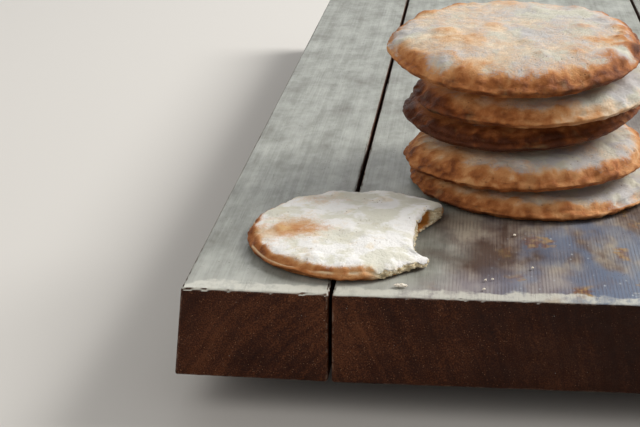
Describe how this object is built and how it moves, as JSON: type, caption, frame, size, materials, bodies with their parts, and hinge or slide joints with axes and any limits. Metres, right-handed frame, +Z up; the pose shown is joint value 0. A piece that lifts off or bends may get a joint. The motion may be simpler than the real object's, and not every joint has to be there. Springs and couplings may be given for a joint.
{
  "type": "crackers on a wooden board",
  "caption": "Old plank serving board on two cross battens, carrying a leaning stack of round puffed crackers, one bitten cracker at the front corner and a few loose crumbs.",
  "frame": {"origin": "bottom centre of the whole object: on the surface that the battens stand on, under the middle of the board", "axes": "+X across the board to the right, +Y along the planks away from the front end with the crackers, +Z up"},
  "size_m": [0.2298, 0.4799, 0.1014],
  "materials": {
    "plank_wood": "old weathered hardwood plank: worn grey satin top with fine saw lines, ochre and blue-grey stains and a pale worn front edge; dark red-brown end grain and sides",
    "batten_wood": "rough dark brown softwood batten",
    "screw_steel": "dull zinc-plated steel, slightly rusted in the recess",
    "cracker_baked": null,
    "cracker_pale": null,
    "crumb": null
  },
  "bodies": {
    "root": {"plank_left": "plank_wood", "plank_middle": "plank_wood", "plank_right": "plank_wood", "batten_front": "batten_wood", "screw_front_1": "screw_steel", "screw_front_2": "screw_steel", "screw_front_3": "screw_steel", "screw_front_4": "screw_steel", "screw_front_5": "screw_steel", "screw_front_6": "screw_steel", "batten_back": "batten_wood", "screw_back_1": "screw_steel", "screw_back_2": "screw_steel", "screw_back_3": "screw_steel", "screw_back_4": "screw_steel", "screw_back_5": "screw_steel", "screw_back_6": "screw_steel", "cracker_stack_1": "cracker_baked", "cracker_stack_2": "cracker_baked", "cracker_stack_3": "cracker_baked", "cracker_stack_4": "cracker_baked", "cracker_stack_5": "cracker_baked", "cracker_bitten": "cracker_pale", "crumb_long": "crumb", "crumb_round": "crumb", "crumb_pair_left": "crumb", "crumb_pair_right": "crumb", "crumb_edge": "crumb", "crumb_by_stack": "crumb"}
  },
  "joints": []
}
